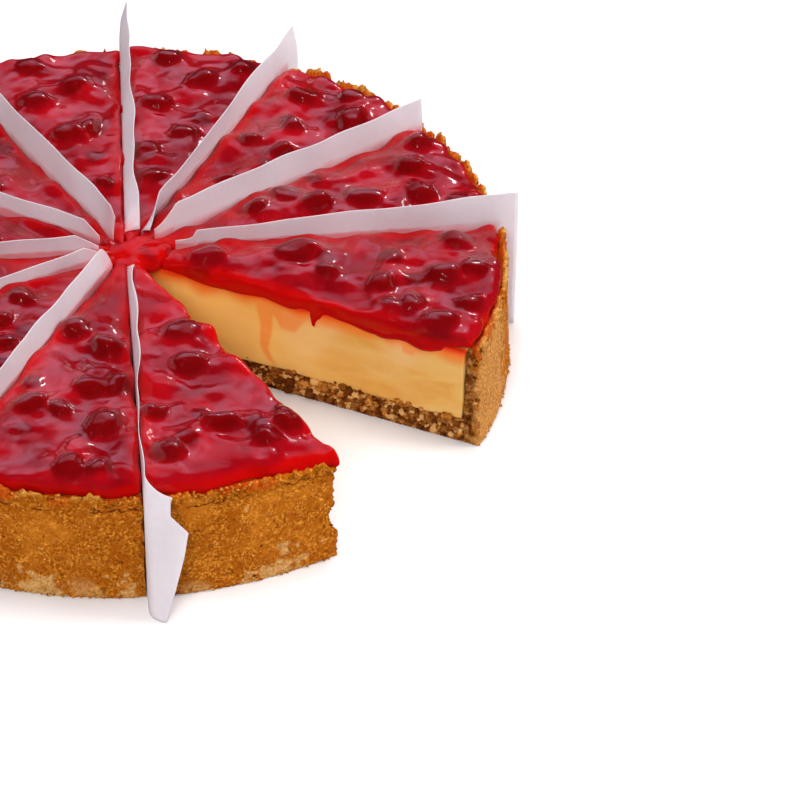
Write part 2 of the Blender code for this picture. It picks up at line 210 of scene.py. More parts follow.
def cut_angle(number):
    return math.radians(FIRST_CUT - WEDGE_TURN * (number - 1) + CUT_DRIFT[number - 1])


def at(radius, angle, height):
    """Place at a distance and direction from the axis."""
    return Vector((radius * math.cos(angle), radius * math.sin(angle), height))


def wedge_point(number, radius, share, height):
    return at(radius, mix(cut_angle(number), cut_angle(number + 1), share), height)


def open_side(number):
    """Which side of a wedge faces the gap: 0, 1 or None."""
    return {1: 0, WEDGES: 1}.get(number)


def cut_normal(number, side):
    """Level direction out of a wedge, square to its first cut (side 0) or its second."""
    angle = cut_angle(number + side)
    out = Vector((-math.sin(angle), math.cos(angle), 0.0))
    return out if side == 0 else -out


# Small tools for modelling


def deselect():
    if bpy.context.object and bpy.context.object.mode != "OBJECT":
        bpy.ops.object.mode_set(mode="OBJECT")
    bpy.ops.object.select_all(action="DESELECT")


def make_active(piece):
    deselect()
    piece.select_set(True)
    bpy.context.view_layer.objects.active = piece


def edit(piece):
    make_active(piece)
    bpy.ops.object.mode_set(mode="EDIT")


def leave_edit():
    bpy.ops.object.mode_set(mode="OBJECT")


def pick(piece, kind, test):
    """In edit mode, selects vertices, edges or faces all of whose corners pass a test."""
    bpy.ops.mesh.select_mode(type=kind)
    bpy.ops.mesh.select_all(action="DESELECT")
    shape = bmesh.from_edit_mesh(piece.data)
    parts = {"VERT": shape.verts, "EDGE": shape.edges, "FACE": shape.faces}[kind]
    for part in parts:
        corners = [part] if kind == "VERT" else part.verts
        if all(test(corner.co) for corner in corners):
            part.select_set(True)
    shape.select_flush_mode()
    bmesh.update_edit_mesh(piece.data)


def apply_modifier(piece, kind, **values):
    make_active(piece)
    modifier = piece.modifiers.new(kind.title(), kind)
    for name, value in values.items():
        setattr(modifier, name, value)
    bpy.ops.object.modifier_apply(modifier=modifier.name)


def put_in_place(piece):
    make_active(piece)
    bpy.ops.object.transform_apply(location=True, rotation=True, scale=True)


def join_all(pieces):
    """Joins pieces into the first of them."""
    deselect()
    for piece in pieces:
        piece.select_set(True)
    bpy.context.view_layer.objects.active = pieces[0]
    bpy.ops.object.join()


def one_skin(piece, grain, rounds):
    """Draws joined lumps together under one smooth skin."""
    apply_modifier(piece, "REMESH", mode="VOXEL", voxel_size=grain)
    apply_modifier(piece, "SMOOTH", factor=0.6, iterations=rounds)


def relief(piece, name, size, depth, strength, middle, group="", direction="NORMAL"):
    """Pushes a surface in and out by cloudy lumps of a size, as far as a vertex group lets it."""
    texture = bpy.data.textures.new(name, "CLOUDS")
    texture.noise_scale = size
    texture.noise_depth = depth
    apply_modifier(piece, "DISPLACE", texture=texture, texture_coords="LOCAL", strength=strength,
                   mid_level=middle, vertex_group=group, direction=direction)


def new_thing(name, data):
    """Object on given data, linked to the scene."""
    thing = bpy.data.objects.new(name, data)
    bpy.context.scene.collection.objects.link(thing)
    return thing


def points_of(piece):
    places = np.empty(len(piece.data.vertices) * 3)
    piece.data.vertices.foreach_get("co", places)
    return places.reshape(-1, 3)


def from_axis(places):
    return np.hypot(places[:, 0], places[:, 1])


def waver(places, size):
    """Soft noise at each place, with lumps of a size."""
    return np.array([noise.noise(Vector(place) / size) for place in places])


def weigh(piece, name, weights):
    """Vertex group holding one weight for each vertex."""
    group = piece.vertex_groups.new(name=name)
    for index in np.nonzero(weights > 0.002)[0].tolist():
        group.add([index], float(min(1.0, weights[index])), "REPLACE")


def paint(piece, name, red, green=0.0, blue=0.0):
    """Colour attribute on the vertices from one to three arrays."""
    colours = np.ones((len(piece.data.vertices), 4), dtype=np.float32)
    colours[:, 0] = red
    colours[:, 1] = green
    colours[:, 2] = blue
    layer = piece.data.color_attributes.new(name, "FLOAT_COLOR", "POINT")
    layer.data.foreach_set("color", colours.ravel())


def trim_to_wedge(piece, number, insets):
    """Cuts a ring or disc along a wedge's two cuts and closes the cut faces."""
    edit(piece)
    for side in (0, 1):
        out = cut_normal(number, side)
        bpy.ops.mesh.select_all(action="SELECT")
        bpy.ops.mesh.bisect(plane_co=out * -insets[side], plane_no=out, use_fill=True, clear_outer=True)
    bpy.ops.mesh.select_all(action="SELECT")
    bpy.ops.mesh.normals_make_consistent(inside=False)
    leave_edit()


def depth_in_cut(places, number, side):
    """How far points lie in from the plane of a wedge's cut."""
    out = cut_normal(number, side)
    return -(places[:, 0] * out.x + places[:, 1] * out.y)


def finish_piece(piece, name, material, nodes=()):
    piece.name = name
    piece.data.name = name
    piece.data.materials.clear()
    piece.data.materials.append(material)
    make_active(piece)
    bpy.ops.object.shade_smooth()
    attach(piece, "root")
    if nodes:
        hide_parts(*nodes)


# Finishes


def new_material(name):
    material = bpy.data.materials.new(name)
    material.use_nodes = True
    tree = material.node_tree
    return material, tree, tree.nodes["Principled BSDF"]


def feed(tree, socket, value):
    """Gives a node's input another node's output or a plain value."""
    if isinstance(value, bpy.types.NodeSocket):
        tree.links.new(value, socket)
    else:
        socket.default_value = value


def add_node(tree, kind, links=None, **values):
    """Adds a node; links maps its inputs to sockets or to plain values."""
    made = tree.nodes.new(kind)
    for name, value in values.items():
        setattr(made, name, value)
    for key, value in (links or {}).items():
        feed(tree, made.inputs[key], value)
    return made


def object_place(tree):
    return add_node(tree, "ShaderNodeTexCoord").outputs["Object"]


def noise_of(tree, place, size, detail=3.0, roughness=0.55, distortion=0.0):
    """Noise with lumps of a size in metres."""
    made = add_node(tree, "ShaderNodeTexNoise", {
        "Vector": place, "Scale": 1 / size, "Detail": detail, "Roughness": roughness,
        "Distortion": distortion,
    })
    return made.outputs["Fac"]


def ramp(tree, value, stops):
    """Colour ramp from (place, colour) stops."""
    made = add_node(tree, "ShaderNodeValToRGB", {"Fac": value})
    band = made.color_ramp
    while len(band.elements) < len(stops):
        band.elements.new(0.5)
    for element, (place, colour) in zip(band.elements, stops):
        element.position = place
        element.color = (*colour, 1.0) if len(colour) == 3 else colour
    return made.outputs["Color"]


def grey_ramp(tree, value, low, high):
    """Number that climbs from 0 at low to 1 at high."""
    made = add_node(tree, "ShaderNodeMapRange", {"Value": value, "From Min": low, "From Max": high})
    return made.outputs["Result"]


def blend(tree, share, first, second):
    """Colour between two, by a share."""
    made = add_node(tree, "ShaderNodeMix", {"Factor": share}, data_type="RGBA")
    for socket, colour in ((made.inputs[6], first), (made.inputs[7], second)):
        feed(tree, socket, (*colour, 1.0) if isinstance(colour, tuple) else colour)
    return made.outputs[2]


def sums(tree, operation, first, second=None):
    links = {0: first}
    if second is not None:
        links[1] = second
    return add_node(tree, "ShaderNodeMath", links, operation=operation).outputs[0]


def bumped(tree, shader, height, distance, strength=1.0):
    bump = add_node(tree, "ShaderNodeBump", {"Height": height, "Distance": distance, "Strength": strength})
    tree.links.new(bump.outputs["Normal"], shader.inputs["Normal"])


def set_shader(tree, shader, **values):
    """Links or sets the shader's own sockets; an underscore in a name stands for a space."""
    for name, value in values.items():
        feed(tree, shader.inputs[name.replace("_", " ")], value)


def painted(tree, name):
    layer = add_node(tree, "ShaderNodeAttribute", attribute_name=name)
    return add_node(tree, "ShaderNodeSeparateColor", {"Color": layer.outputs["Color"]}).outputs


def cherry_glaze():
    """Wet red jelly: darker over the cherries, with a painted glow of brighter red on its rim band, thin
    edges and centre, and painted reflection patches in its coat.
    """
    material, tree, shader = new_material("cherry_glaze")
    place = object_place(tree)
    tone = painted(tree, "tone")
    cloud = noise_of(tree, place, 0.016, detail=3.0)
    deep = blend(tree, grey_ramp(tree, cloud, 0.35, 0.65), (0.21, 0.0014, 0.0044), (0.38, 0.0020, 0.0062))
    # Painted glow: brighter red where the painted tone's green is high
    colour = blend(tree, tone["Green"], deep, (0.46, 0.0018, 0.0013))
    colour = blend(tree, tone["Red"], colour, (0.155, 0.0008, 0.0013))
    # Painted reflection: noise cuts the coat into patches, and the coat is kept off the painted glow
    reflection_patches = grey_ramp(tree, noise_of(tree, place, 0.0150, detail=2.0, distortion=1.2), 0.44, 0.56)
    reflection_patches = sums(tree, "ADD", sums(tree, "MULTIPLY", reflection_patches, 0.66), 0.10)
    coat = sums(tree, "MULTIPLY", sums(tree, "SUBTRACT", 1.0, tone["Green"]), reflection_patches)
    set_shader(tree, shader, Base_Color=colour, Roughness=0.13, IOR=1.45, Specular_IOR_Level=0.21,
               Coat_Weight=coat, Coat_Roughness=0.03, Subsurface_Weight=0.35,
               Subsurface_Radius=(1.0, 0.06, 0.04), Subsurface_Scale=0.0035)
    ripple = noise_of(tree, place, 0.0050, detail=3.0, distortion=1.6)
    bumped(tree, shader, ripple, 0.0005, 0.22)
    return material


def crumb_crust():
    """Pressed biscuit crumb: grainy golden brown, cracked under the lip, coarse where it was cut, with
    painted shade between the cut crumbs and painted light over the right front wall.
    """
    material, tree, shader = new_material("crumb_crust")
    place = object_place(tree)
    tone = painted(tree, "tone")
    cut = painted(tree, "cut_tone")
    grain = noise_of(tree, place, 0.0010, detail=4.0, roughness=0.75)
    clumps = noise_of(tree, place, 0.0034, detail=3.0, roughness=0.65)
    base = ramp(tree, grain, ((0.38, (0.17, 0.034, 0.0010)), (0.50, (0.47, 0.135, 0.0045)),
                              (0.62, (0.86, 0.355, 0.0440))))
    base = blend(tree, grey_ramp(tree, clumps, 0.62, 0.34), base, (0.40, 0.095, 0.0025))
    patches = noise_of(tree, place, 0.016, detail=3.0)
    base = blend(tree, sums(tree, "MULTIPLY", grey_ramp(tree, patches, 0.50, 0.72), 0.55), base,
                 (0.74, 0.250, 0.020))
    specks = add_node(tree, "ShaderNodeTexVoronoi", {"Vector": place, "Scale": 560.0})
    pale = grey_ramp(tree, specks.outputs["Distance"], 0.26, 0.10)
    chance = grey_ramp(tree, noise_of(tree, place, 0.0026), 0.57, 0.63)
    base = blend(tree, sums(tree, "MULTIPLY", pale, chance), base, (0.86, 0.43, 0.12))
    pores = noise_of(tree, place, 0.0017, detail=3.0, roughness=0.6)
    base = blend(tree, grey_ramp(tree, pores, 0.38, 0.26), base, (0.12, 0.024, 0.001))
    level = add_node(tree, "ShaderNodeSeparateXYZ", {"Vector": place}).outputs["Z"]
    drift = noise_of(tree, place, 0.010, detail=4.0, roughness=0.6)
    crack = sums(tree, "ABSOLUTE", sums(tree, "SUBTRACT", level,
                                        sums(tree, "ADD", sums(tree, "MULTIPLY", drift, 0.010), 0.0295)))
    broken = grey_ramp(tree, noise_of(tree, place, 0.008, detail=2.0), 0.46, 0.56)
    cracked = sums(tree, "MULTIPLY", grey_ramp(tree, crack, 0.00042, 0.00012), broken)
    base = blend(tree, cracked, base, (0.13, 0.022, 0.001))
    crag = ramp(tree, grain, ((0.38, (0.50, 0.19, 0.020)), (0.60, (0.92, 0.50, 0.105))))
    base = blend(tree, tone["Green"], base, crag)
    # Pale crumb where the painted tone's blue is high: pale patches, and painted light over the right front
    # wall
    paler = ramp(tree, grain, ((0.34, (0.46, 0.20, 0.030)), (0.62, (0.86, 0.52, 0.20))))
    base = blend(tree, tone["Blue"], base, paler)
    base = blend(tree, tone["Red"], base, (0.62, 0.045, 0.003))
    # Open cut's face: nut-brown crumb, its darkest tones painted shade in the gaps between the loose crumbs
    nut_crumb_and_gap_shade = ramp(tree, clumps, ((0.36, (0.055, 0.010, 0.001)), (0.50, (0.21, 0.060, 0.007)),
                              (0.64, (0.50, 0.23, 0.060))))
    base = blend(tree, cut["Red"], base, nut_crumb_and_gap_shade)
    set_shader(tree, shader, Base_Color=base, Roughness=0.85, Specular_IOR_Level=0.08)
    height = sums(tree, "ADD", grain, pores)
    bumped(tree, shader, height, 0.0008, 0.9)
    return material


def base_crumb():
    """Coarse crumb of the base where it was cut: nutty brown, each lump of its own shade."""
    material, tree, shader = new_material("base_crumb")
    place = object_place(tree)
    tone = painted(tree, "tone")
    grain = noise_of(tree, place, 0.0012, detail=4.0, roughness=0.7)
    base = ramp(tree, grain, ((0.32, (0.20, 0.045, 0.002)), (0.50, (0.44, 0.145, 0.014)),
                              (0.68, (0.70, 0.32, 0.07))))
    base = blend(tree, tone["Red"], base, (0.090, 0.015, 0.001))
    base = blend(tree, tone["Green"], base, (0.74, 0.44, 0.16))
    set_shader(tree, shader, Base_Color=base, Roughness=0.75, Specular_IOR_Level=0.15)
    bumped(tree, shader, grain, 0.0005, 0.8)
    return material


def cheese_filling():
    """Smooth baked cheese with knife smears, cherry juice run down from the glaze, and painted light towards
    the axis.
    """
    material, tree, shader = new_material("cheese_filling")
    place = object_place(tree)
    tone = painted(tree, "tone")
    stretched = add_node(tree, "ShaderNodeMapping", {"Vector": place, "Scale": (1.0, 1.0, 2.6)})
    smear = noise_of(tree, stretched.outputs["Vector"], 0.016, detail=4.0, distortion=0.6)
    base = ramp(tree, smear, ((0.30, (0.665, 0.320, 0.058)), (0.50, (0.695, 0.385, 0.092)),
                              (0.70, (0.725, 0.445, 0.140))))
    base = blend(tree, tone["Green"], base, (0.76, 0.52, 0.24))
    # Painted light: the cheese turns lighter and more orange towards the axis, lifting the shade of the
    # narrow gap there
    level = add_node(tree, "ShaderNodeVectorMath", {0: place, 1: (1.0, 1.0, 0.0)}, operation="MULTIPLY")
    reach = add_node(tree, "ShaderNodeVectorMath", {0: level.outputs[0]}, operation="LENGTH")
    painted_light_near_axis = sums(tree, "MULTIPLY", grey_ramp(tree, reach.outputs["Value"], 0.085, 0.030), 0.9)
    base = blend(tree, painted_light_near_axis, base, (0.88, 0.545, 0.155))
    base = blend(tree, tone["Red"], base, (0.80, 0.170, 0.014))
    base = blend(tree, tone["Blue"], base, (0.72, 0.020, 0.003))
    set_shader(tree, shader, Base_Color=base, Roughness=0.48, Specular_IOR_Level=0.2, Subsurface_Weight=0.25,
               Subsurface_Radius=(1.0, 0.6, 0.3), Subsurface_Scale=0.002)
    fine = noise_of(tree, stretched.outputs["Vector"], 0.0035, detail=4.0)
    bumped(tree, shader, fine, 0.0003, 0.5)
    return material


def divider_paper():
    """White baking paper, a little see-through, pink where jelly soaked its foot."""
    material, tree, shader = new_material("divider_paper")
    place = object_place(tree)
    tone = painted(tree, "tone")
    fibre = noise_of(tree, place, 0.0030, detail=5.0, roughness=0.65)
    base = blend(tree, fibre, (0.66, 0.600, 0.640), (0.74, 0.695, 0.730))
    base = blend(tree, tone["Red"], base, (0.72, 0.090, 0.120))
    set_shader(tree, shader, Base_Color=base, Roughness=0.55, Subsurface_Weight=0.3,
               Subsurface_Radius=(1.0, 0.8, 0.8), Subsurface_Scale=0.001)
    bumped(tree, shader, fibre, 0.0002, 0.3)
    return material


def pale_floor():
    material, tree, shader = new_material("pale_floor")
    set_shader(tree, shader, Base_Color=(0.90, 0.90, 0.90, 1.0), Roughness=0.75, Specular_IOR_Level=0.2)
    return material


# Cherries and glaze


def settle_cherry(number, radius, share, width):
    """Moves a cherry's place so that it stays on its wedge and clear of the dividers."""
    half_width = width / 2
    radius = min(radius, GLAZE_RADIUS - half_width - 0.0004)
    turn = abs(cut_angle(number + 1) - cut_angle(number))
    least = []
    for side in (0, 1):
        room = CHERRY_OPEN_SIDE if open_side(number) == side else CHERRY_SIDE
        least.append(math.asin((half_width + room + CRUST_SLIT) / radius) / turn)
    if least[0] > 1 - least[1]:
        return radius, 0.5
    return radius, min(1 - least[1], max(least[0], share))


def cherry_places(number):
    """Distance from the axis, share across and width of each cherry on a wedge."""
    if number in PLACED_CHERRIES:
        return [(radius / 1000, share, width / 1000) for radius, share, width in PLACED_CHERRIES[number]]
    draw = random.Random(CHERRY_SEED + number)
    places = []
    centres = []
    tries = 0
    while len(places) < CHERRIES_A_WEDGE and tries < 400:
        tries += 1
        radius = mix(CHERRY_NEAREST, GLAZE_RADIUS, math.sqrt(draw.uniform(0.02, 0.98)))
        share = draw.uniform(0.05, 0.95)
        width = CHERRY_WIDTH * draw.uniform(0.85, 1.15)
        radius, share = settle_cherry(number, radius, share, width)
        centre = wedge_point(number, radius, share, 0.0)
        if all((centre - other).length > CHERRY_SPACING for other in centres):
            centres.append(centre)
            places.append((radius, share, width))
    return places


def shape_cherry():
    """One pitted cherry of unit width, slumped and a little flat at its stalk end."""
    deselect()
    bpy.ops.mesh.primitive_uv_sphere_add(segments=28, ring_count=18, radius=0.5)
    cherry = bpy.context.object
    edit(cherry)
    pick(cherry, "VERT", lambda place: place.z > 0.42)
    bpy.ops.transform.translate(value=(0, 0, -0.08))
    pick(cherry, "VERT", lambda place: place.z < -0.40)
    bpy.ops.transform.translate(value=(0, 0, 0.05))
    leave_edit()
    return cherry


def copy_lump(pattern, centre, size, turn, tilt=(0.0, 0.0)):
    make_active(pattern)
    bpy.ops.object.duplicate()
    lump = bpy.context.object
    lump.rotation_euler = (*tilt, 0)
    bpy.ops.object.transform_apply(rotation=True)
    lump.scale = size
    lump.rotation_euler = (0, 0, turn)
    lump.location = centre
    return lump


def place_cherries(number, pattern):
    """Cherries of one wedge, with sunken ones between them; returns the copies and their places."""
    draw = random.Random(CHERRY_SEED * 7 + number)
    lumps = []
    centres = []
    floor = GLAZE_BOTTOM + CHERRY_FLOOR
    for radius, share, width in cherry_places(number):
        radius, share = settle_cherry(number, radius, share, width)
        top = GLAZE_TOP + CHERRY_RISE * draw.uniform(0.85, 1.30) * min(1.0, width / CHERRY_WIDTH)
        centre = wedge_point(number, radius, share, (floor + top) / 2)
        length = draw.uniform(1.0, 1.16)
        tilt = (draw.uniform(0.2, 1.5), draw.uniform(-0.5, 0.5))
        size = (width * length, width / length, top - floor)
        lumps.append(copy_lump(pattern, centre, size, draw.uniform(0, math.tau), tilt))
        centres.append((centre.x, centre.y, width / 2, draw.uniform(0.6, 1.0)))
    for _ in range(SUNKEN_CHERRIES):
        radius = mix(0.030, GLAZE_RADIUS - 0.008, math.sqrt(draw.random()))
        width = draw.uniform(0.009, 0.013)
        radius, share = settle_cherry(number, radius, draw.random(), width)
        top = GLAZE_TOP + draw.uniform(0.0004, 0.0016)
        centre = wedge_point(number, radius, share, (floor + top) / 2)
        length = draw.uniform(1.0, 1.3)
        lumps.append(copy_lump(pattern, centre, (width * length, width / length, top - floor),
                               draw.uniform(0, math.tau)))
        centres.append((centre.x, centre.y, width / 3.0, 0.4))
    return lumps, centres


def glaze_tone(piece, number, centres):
    """Paints how much cherry shows at each point, and a painted glow: brighter red on the rim band, the cut
    edges, beside the dividers and over the centre.
    """
    places = points_of(piece)
    radius = from_axis(places)
    height = places[:, 2]
    cherry = np.zeros(len(places))
    for x, y, half_width, _ in centres:
        away = np.hypot(places[:, 0] - x, places[:, 1] - y) / half_width
        cherry = np.maximum(cherry, smooth_step(1.25, 0.65, away) * 0.95)
    # Painted glow: brighter red on the rim band, over the centre and along the cuts and dividers, standing
    # in for light through thin jelly
    bright = smooth_step(GLAZE_RADIUS - 0.0060, GLAZE_RADIUS - 0.0010, radius)
    bright = bright * smooth_step(GLAZE_TOP + 0.0006, GLAZE_TOP - 0.0020, height)
    bright = np.maximum(bright, smooth_step(0.034, 0.012, radius) * 0.8)
    for side in (0, 1):
        depth = depth_in_cut(places, number, side)
        if open_side(number) == side:
            edge = smooth_step(0.0048, 0.0004, depth)
            bright = np.maximum(bright, edge * smooth_step(0.118, 0.070, radius))
        else:
            edge = smooth_step(0.0016, 0.0004, depth)
            strip = smooth_step(0.0056, 0.0018, depth) * smooth_step(0.020, 0.035, radius)
            bright = np.maximum(bright, strip * 0.6)
        bright = np.maximum(bright, edge * smooth_step(GLAZE_TOP, GLAZE_TOP - 0.0022, height) * 0.7)
    cherry = cherry * smooth_step(GLAZE_BOTTOM, GLAZE_TOP - 0.0005, height)
    paint(piece, "tone", cherry * smooth_step(0.020, 0.036, radius), bright * (1 - cherry))


def hang_drips(number, pattern):
    """Lumps along an open cut's upper edge: the uneven hem and drips of the glaze."""
    drips = []
    angle = cut_angle(number + (open_side(number) or 0))
    for radius, length, width, thick in GLAZE_DRIPS.get(number, ()):
        centre = at(radius, angle, GLAZE_BOTTOM + 0.0014 - length / 2)
        centre -= cut_normal(number, open_side(number)) * (thick * 0.3 - GLAZE_OVERHANG)
        drips.append(copy_lump(pattern, centre, (width, thick, length), angle))
    return drips


def pour_glaze(number, pattern, material):
    """Disc of glaze cut to a wedge, rounded, filled with cherries and drawn together to one skin."""
    deselect()
    thick = GLAZE_TOP - GLAZE_BOTTOM
    bpy.ops.mesh.primitive_cylinder_add(
        vertices=192, radius=GLAZE_RADIUS, depth=thick, location=(0, 0, GLAZE_BOTTOM + thick / 2))
    slab = bpy.context.object
    put_in_place(slab)
    insets = [-GLAZE_OVERHANG if open_side(number) == side else GLAZE_SLIT for side in (0, 1)]
    trim_to_wedge(slab, number, insets)
    edit(slab)
    pick(slab, "EDGE", lambda p: p.z > GLAZE_TOP - 1e-5 and math.hypot(p.x, p.y) > GLAZE_RADIUS - 1e-4)
    bpy.ops.mesh.bevel(offset=0.0030, segments=5, affect="EDGES")
    side = open_side(number)
    if side is not None:
        out = cut_normal(number, side)
        edge = GLAZE_OVERHANG - 1e-5
        pick(slab, "EDGE", lambda p: p.z > GLAZE_TOP - 1e-5 and p.dot(out) > edge)
        bpy.ops.mesh.bevel(offset=0.0015, segments=4, affect="EDGES")
    leave_edit()
    lumps, centres = place_cherries(number, pattern)
    join_all([slab] + lumps + hang_drips(number, pattern))
    one_skin(slab, GLAZE_GRAIN, 26)
    roll_glaze(slab, number, centres)
    if side is not None:
        places = points_of(slab)
        near = smooth_step(0.0034, 0.0, depth_in_cut(places, number, side))
        weigh(slab, "edge", near * smooth_step(0.010, 0.030, from_axis(places)))
        relief(slab, f"edge_bulges_{number}", 0.0120, 0, 0.0030, 0.47, "edge")
    if number == 1:
        for centre, reach, move in GLAZE_CORNER:
            nudge(slab, centre, reach, move)
    glaze_tone(slab, number, centres)
    finish_piece(slab, f"glaze_{number:02d}", material, [f"topping_{number:02d}"])


def roll_glaze(slab, number, centres):
    """Jelly heaped around the cherries, rolling between them and swollen along the rim."""
    places = points_of(slab)
    above = smooth_step(GLAZE_BOTTOM + 0.0004, GLAZE_TOP - 0.0006, places[:, 2])
    heap = np.zeros(len(places))
    folds = np.zeros(len(places))
    for x, y, half_width, share in centres:
        away = np.hypot(places[:, 0] - x, places[:, 1] - y) / half_width
        heap = 1 - (1 - heap) * (1 - 0.75 * share * np.exp(-(away / 2.1) ** 2))
        folds = np.maximum(folds, smooth_step(0.4, 1.0, away) * smooth_step(2.6, 1.4, away))
    weigh(slab, "heap", heap * above)
    apply_modifier(slab, "DISPLACE", strength=0.0021, mid_level=0.0, direction="Z", vertex_group="heap")
    weigh(slab, "above", above)
    relief(slab, f"glaze_rolls_{number}", 0.0105, 0, 0.0030, 0.5, "above")
    weigh(slab, "folds", folds * above)
    relief(slab, f"glaze_folds_{number}", 0.0046, 0, 0.0011, 0.5, "folds")
    places = points_of(slab)
    radius = from_axis(places)
    bank = np.zeros(len(places))
    for side in (0, 1):
        if open_side(number) != side:
            bank = np.maximum(bank, smooth_step(0.0075, 0.0005, depth_in_cut(places, number, side)))
    weigh(slab, "banks", bank * above * smooth_step(0.018, 0.035, radius))
    relief(slab, f"paper_banks_{number}", 0.0130, 0, 0.0042, 0.46, "banks", "Z")
    weigh(slab, "rim", smooth_step(0.1200, 0.1262, radius))
    relief(slab, f"rim_swell_{number}", 0.012, 1, 0.0028, 0.42, "rim")
    apply_modifier(slab, "SMOOTH", factor=0.5, iterations=3)


def fill_centre(material):
    """Jelly run together over the wedges' points."""
    draw = random.Random(71)
    deselect()
    lumps = []
    for radius, angle, width, rise in CENTRE_LUMPS:
        bpy.ops.mesh.primitive_uv_sphere_add(segments=32, ring_count=20, radius=0.5)
        lump = bpy.context.object
        lump.scale = (width, width * draw.uniform(0.8, 1.0), 0.0080)
        lump.rotation_euler = (0, 0, draw.uniform(0, math.tau))
        lump.location = at(radius, math.radians(angle), GLAZE_TOP + rise - 0.0040)
        lumps.append(lump)
    pool = lumps[0]
    join_all(lumps)
    put_in_place(pool)
    one_skin(pool, CENTRE_GRAIN, 12)
    relief(pool, "centre_rolls", 0.005, 0, 0.0011, 0.5)
    shade = smooth_step(0.0, 0.5, waver(points_of(pool), 0.006))
    # Green is a painted glow over the centre's jelly
    paint(pool, "tone", shade * 0.5, 0.95 - shade * 0.4)
    finish_piece(pool, "centre_glaze", material)


# Crust


def press_crust():
    """The whole tin's crust: base and wall in one."""
    deselect()
    bpy.ops.mesh.primitive_cone_add(
        vertices=320, radius1=FOOT_RADIUS, radius2=RIM_RADIUS, depth=RIM_TOP, location=(0, 0, RIM_TOP / 2))
    ring = bpy.context.object
    put_in_place(ring)
    hollows = (
        (WALL_INNER_FOOT, WALL_INNER_TOP, BASE_THICK, WALL_TOP + 0.0001),
        (LIP_INNER, LIP_INNER, WALL_TOP, RIM_TOP + 0.004),
    )
    for low_radius, high_radius, low, high in hollows:
        deselect()
        bpy.ops.mesh.primitive_cone_add(
            vertices=320, radius1=low_radius, radius2=high_radius, depth=high - low,
            location=(0, 0, (low + high) / 2))
        cutter = bpy.context.object
        apply_modifier(ring, "BOOLEAN", operation="DIFFERENCE", object=cutter, solver="EXACT")
        bpy.data.objects.remove(cutter)
    return ring


def directions(places):
    """Direction of each place from the axis, in degrees."""
    return np.degrees(np.arctan2(places[:, 1], places[:, 0]))


def roughen_crust(wedge, number):
    """Crumbly lip, lumpy grainy wall and chips along the cuts."""
    places = points_of(wedge)
    height = places[:, 2]
    outside = smooth_step(0.1266, 0.1280, from_axis(places))
    lip = outside * smooth_step(RIM_TOP - 0.0040, RIM_TOP - 0.0004, height)
    skin = outside * smooth_step(0.0, 0.0012, height)
    beside = np.minimum(depth_in_cut(places, number, 0), depth_in_cut(places, number, 1))
    weigh(wedge, "lip", lip)
    weigh(wedge, "skin", skin)
    around = directions(places)
    weigh(wedge, "high_lip", lip * smooth_step(-28, -8, around) * smooth_step(100, 70, around))
    apply_modifier(wedge, "DISPLACE", strength=0.0014, mid_level=0.0, direction="Z", vertex_group="high_lip")
    weigh(wedge, "brow", outside * smooth_step(RIM_TOP - 0.0075, RIM_TOP - 0.0020, height))
    weigh(wedge, "chips", skin * smooth_step(0.0036, 0.0006, beside))
    for row in CRUST_RELIEFS:
        relief(wedge, *row)


def nudge(piece, centre, reach, move):
    """Drags the part of a mesh around a point, fading out with distance."""
    edit(piece)
    middle = Vector(centre)
    nearest = min((corner.co - middle).length for corner in bmesh.from_edit_mesh(piece.data).verts)
    pick(piece, "VERT", lambda place: (place - middle).length < nearest + reach * 0.12)
    bpy.ops.transform.translate(value=move, use_proportional_edit=True, proportional_size=reach,
                                proportional_edit_falloff="SMOOTH")
    leave_edit()


def level_foot(piece, below):
    """Presses everything under a height flat on the ground."""
    edit(piece)
    pick(piece, "VERT", lambda place: place.z < below)
    bpy.ops.transform.resize(value=(1, 1, 0), center_override=(0, 0, 0))
    leave_edit()


def crust_tone(piece, number):
    """Paints juice by the glaze, pale crags along the lip, pale patches low on the wall and painted light
    over the right front wall; marks the open cut's face for its darker crumb and painted shade between the
    crumbs.
    """
    places = points_of(piece)
    radius = from_axis(places)
    height = places[:, 2]
    patch = waver(places, 0.011)
    speck = waver(places, 0.0024)
    juice = smooth_step(LIP_INNER + 0.0016, LIP_INNER, radius) * smooth_step(0.034, 0.037, height)
    juice = np.maximum(juice, smooth_step(0.0340, 0.0385, height) * smooth_step(0.12, 0.45, patch) * 0.75)
    crag = smooth_step(RIM_TOP + 0.0002, RIM_TOP + 0.0016, height) * 0.75
    around = directions(places)
    low = smooth_step(0.010, 0.002, height) * smooth_step(0.15, 0.45, patch) * 0.5
    # The last of these patches is painted light over the right front wall
    for centre, half_turn, top, strength in PALE_AND_LIT_PATCHES:
        rough = 1 + 0.6 * patch + 0.9 * speck
        away = np.hypot((around - centre) / half_turn, height / top) * rough
        low = np.maximum(low, smooth_step(1.1, 0.7, away) * strength)
    paint(piece, "tone", juice * 0.8, crag * (1 - juice), low)
    side = open_side(number)
    cut = np.zeros(len(places))
    if side is not None:
        # Open cut's face, for the darker crumb and the painted shade between the crumbs
        cut = smooth_step(0.0040, 0.0020, depth_in_cut(places, number, side))
        cut = cut * smooth_step(FOOT_RADIUS - 0.0012, FOOT_RADIUS - 0.0030, radius + height * 0.04)
    paint(piece, "cut_tone", cut)


